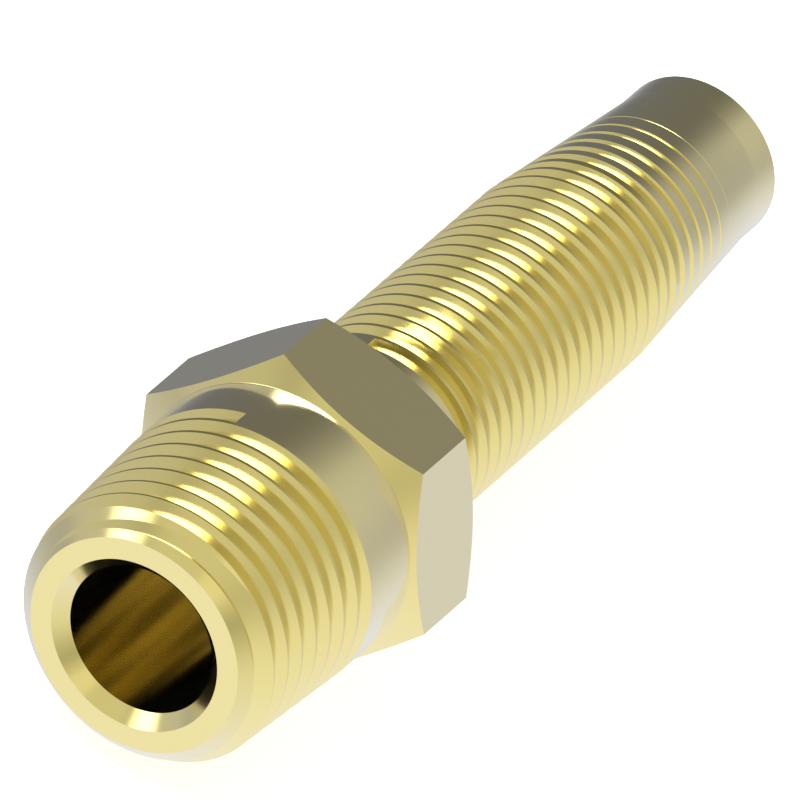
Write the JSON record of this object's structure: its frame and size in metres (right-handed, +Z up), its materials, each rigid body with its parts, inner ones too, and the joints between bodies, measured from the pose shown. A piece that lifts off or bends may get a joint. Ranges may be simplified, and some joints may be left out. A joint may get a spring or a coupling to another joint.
{
  "type": "pipe nipple",
  "caption": "Turned brass hose nipple with a tapered pipe thread, a wrench hexagon, a hose thread that runs out into a tapered tail, and a straight bore.",
  "frame": {"origin": "on the bore's axis, in the plane of the hexagon's back face, against which the hose's socket seats", "axes": "+X along the bore towards the hose end, -X towards the pipe thread's end face, +Z up and square to one flat of the hexagon, so the part lies on the opposite flat, and Y across two corners of the hexagon"},
  "size_m": [0.0624, 0.0206, 0.0178],
  "materials": {
    "brass": "bright turned brass"
  },
  "bodies": {
    "root": {"nipple_body": "brass"}
  },
  "joints": []
}
